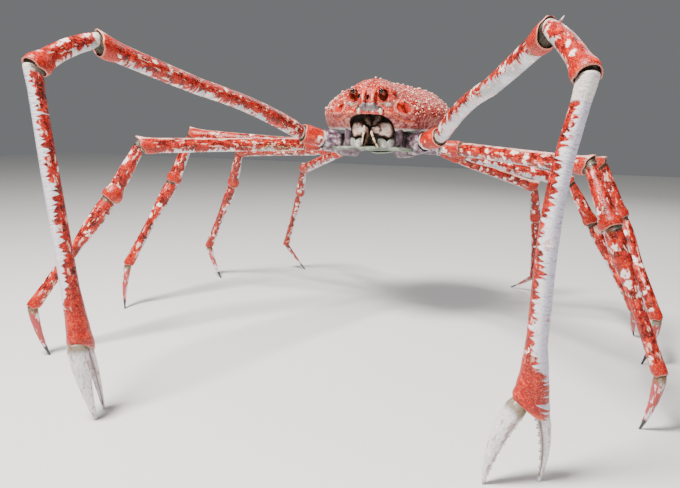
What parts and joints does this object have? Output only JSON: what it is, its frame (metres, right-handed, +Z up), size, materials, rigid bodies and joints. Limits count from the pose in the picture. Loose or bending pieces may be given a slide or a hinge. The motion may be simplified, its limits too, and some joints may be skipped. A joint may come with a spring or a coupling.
{
  "type": "japanese spider crab",
  "caption": "Life-size still model of an adult Japanese spider crab standing on its legs, claws lowered to the floor, with a bumpy pear-shaped carapace.",
  "frame": {"origin": "middle of the bounding box on the floor", "axes": "+Z up, the crab faces -Y, its left side is +X"},
  "size_m": [1.3128, 1.2698, 0.6515],
  "materials": {
    "carapace": "salmon-red shell with pale tubercles, satin",
    "limb_shell": "red-orange shell mottled with white, satin",
    "claw_shell": "off-white and lilac shell with red edges, satin",
    "pale_shell": "pale pink shell with red streaks, satin",
    "underside": "grey-cream shell, satin",
    "eye": "glossy black cornea",
    "feeler": "brown-red jointed feeler"
  },
  "bodies": {
    "root": {"carapace": "carapace", "sternum": "underside", "pleon": "underside", "eye_right": "eye", "antenna_right": "feeler", "maxilliped_right": "pale_shell", "eye_left": "eye", "antenna_left": "feeler", "maxilliped_left": "pale_shell", "cheliped_right_coxa": "limb_shell", "cheliped_right_merus": "limb_shell", "cheliped_right_carpus": "limb_shell", "cheliped_right_propodus": "claw_shell", "cheliped_right_dactylus": "claw_shell", "cheliped_left_coxa": "limb_shell", "cheliped_left_merus": "limb_shell", "cheliped_left_carpus": "limb_shell", "cheliped_left_propodus": "claw_shell", "cheliped_left_dactylus": "claw_shell", "leg2_right_coxa": "limb_shell", "leg2_right_merus": "limb_shell", "leg2_right_carpus": "limb_shell", "leg2_right_propodus": "limb_shell", "leg2_right_dactylus": "pale_shell", "leg2_left_coxa": "limb_shell", "leg2_left_merus": "limb_shell", "leg2_left_carpus": "limb_shell", "leg2_left_propodus": "limb_shell", "leg2_left_dactylus": "pale_shell", "leg3_right_coxa": "limb_shell", "leg3_right_merus": "limb_shell", "leg3_right_carpus": "limb_shell", "leg3_right_propodus": "limb_shell", "leg3_right_dactylus": "pale_shell", "leg3_left_coxa": "limb_shell", "leg3_left_merus": "limb_shell", "leg3_left_carpus": "limb_shell", "leg3_left_propodus": "limb_shell", "leg3_left_dactylus": "pale_shell", "leg4_right_coxa": "limb_shell", "leg4_right_merus": "limb_shell", "leg4_right_carpus": "limb_shell", "leg4_right_propodus": "limb_shell", "leg4_right_dactylus": "pale_shell", "leg4_left_coxa": "limb_shell", "leg4_left_merus": "limb_shell", "leg4_left_carpus": "limb_shell", "leg4_left_propodus": "limb_shell", "leg4_left_dactylus": "pale_shell", "leg5_right_coxa": "limb_shell", "leg5_right_merus": "limb_shell", "leg5_right_carpus": "limb_shell", "leg5_right_propodus": "limb_shell", "leg5_right_dactylus": "pale_shell", "leg5_left_coxa": "limb_shell", "leg5_left_merus": "limb_shell", "leg5_left_carpus": "limb_shell", "leg5_left_propodus": "limb_shell", "leg5_left_dactylus": "pale_shell"}
  },
  "joints": []
}
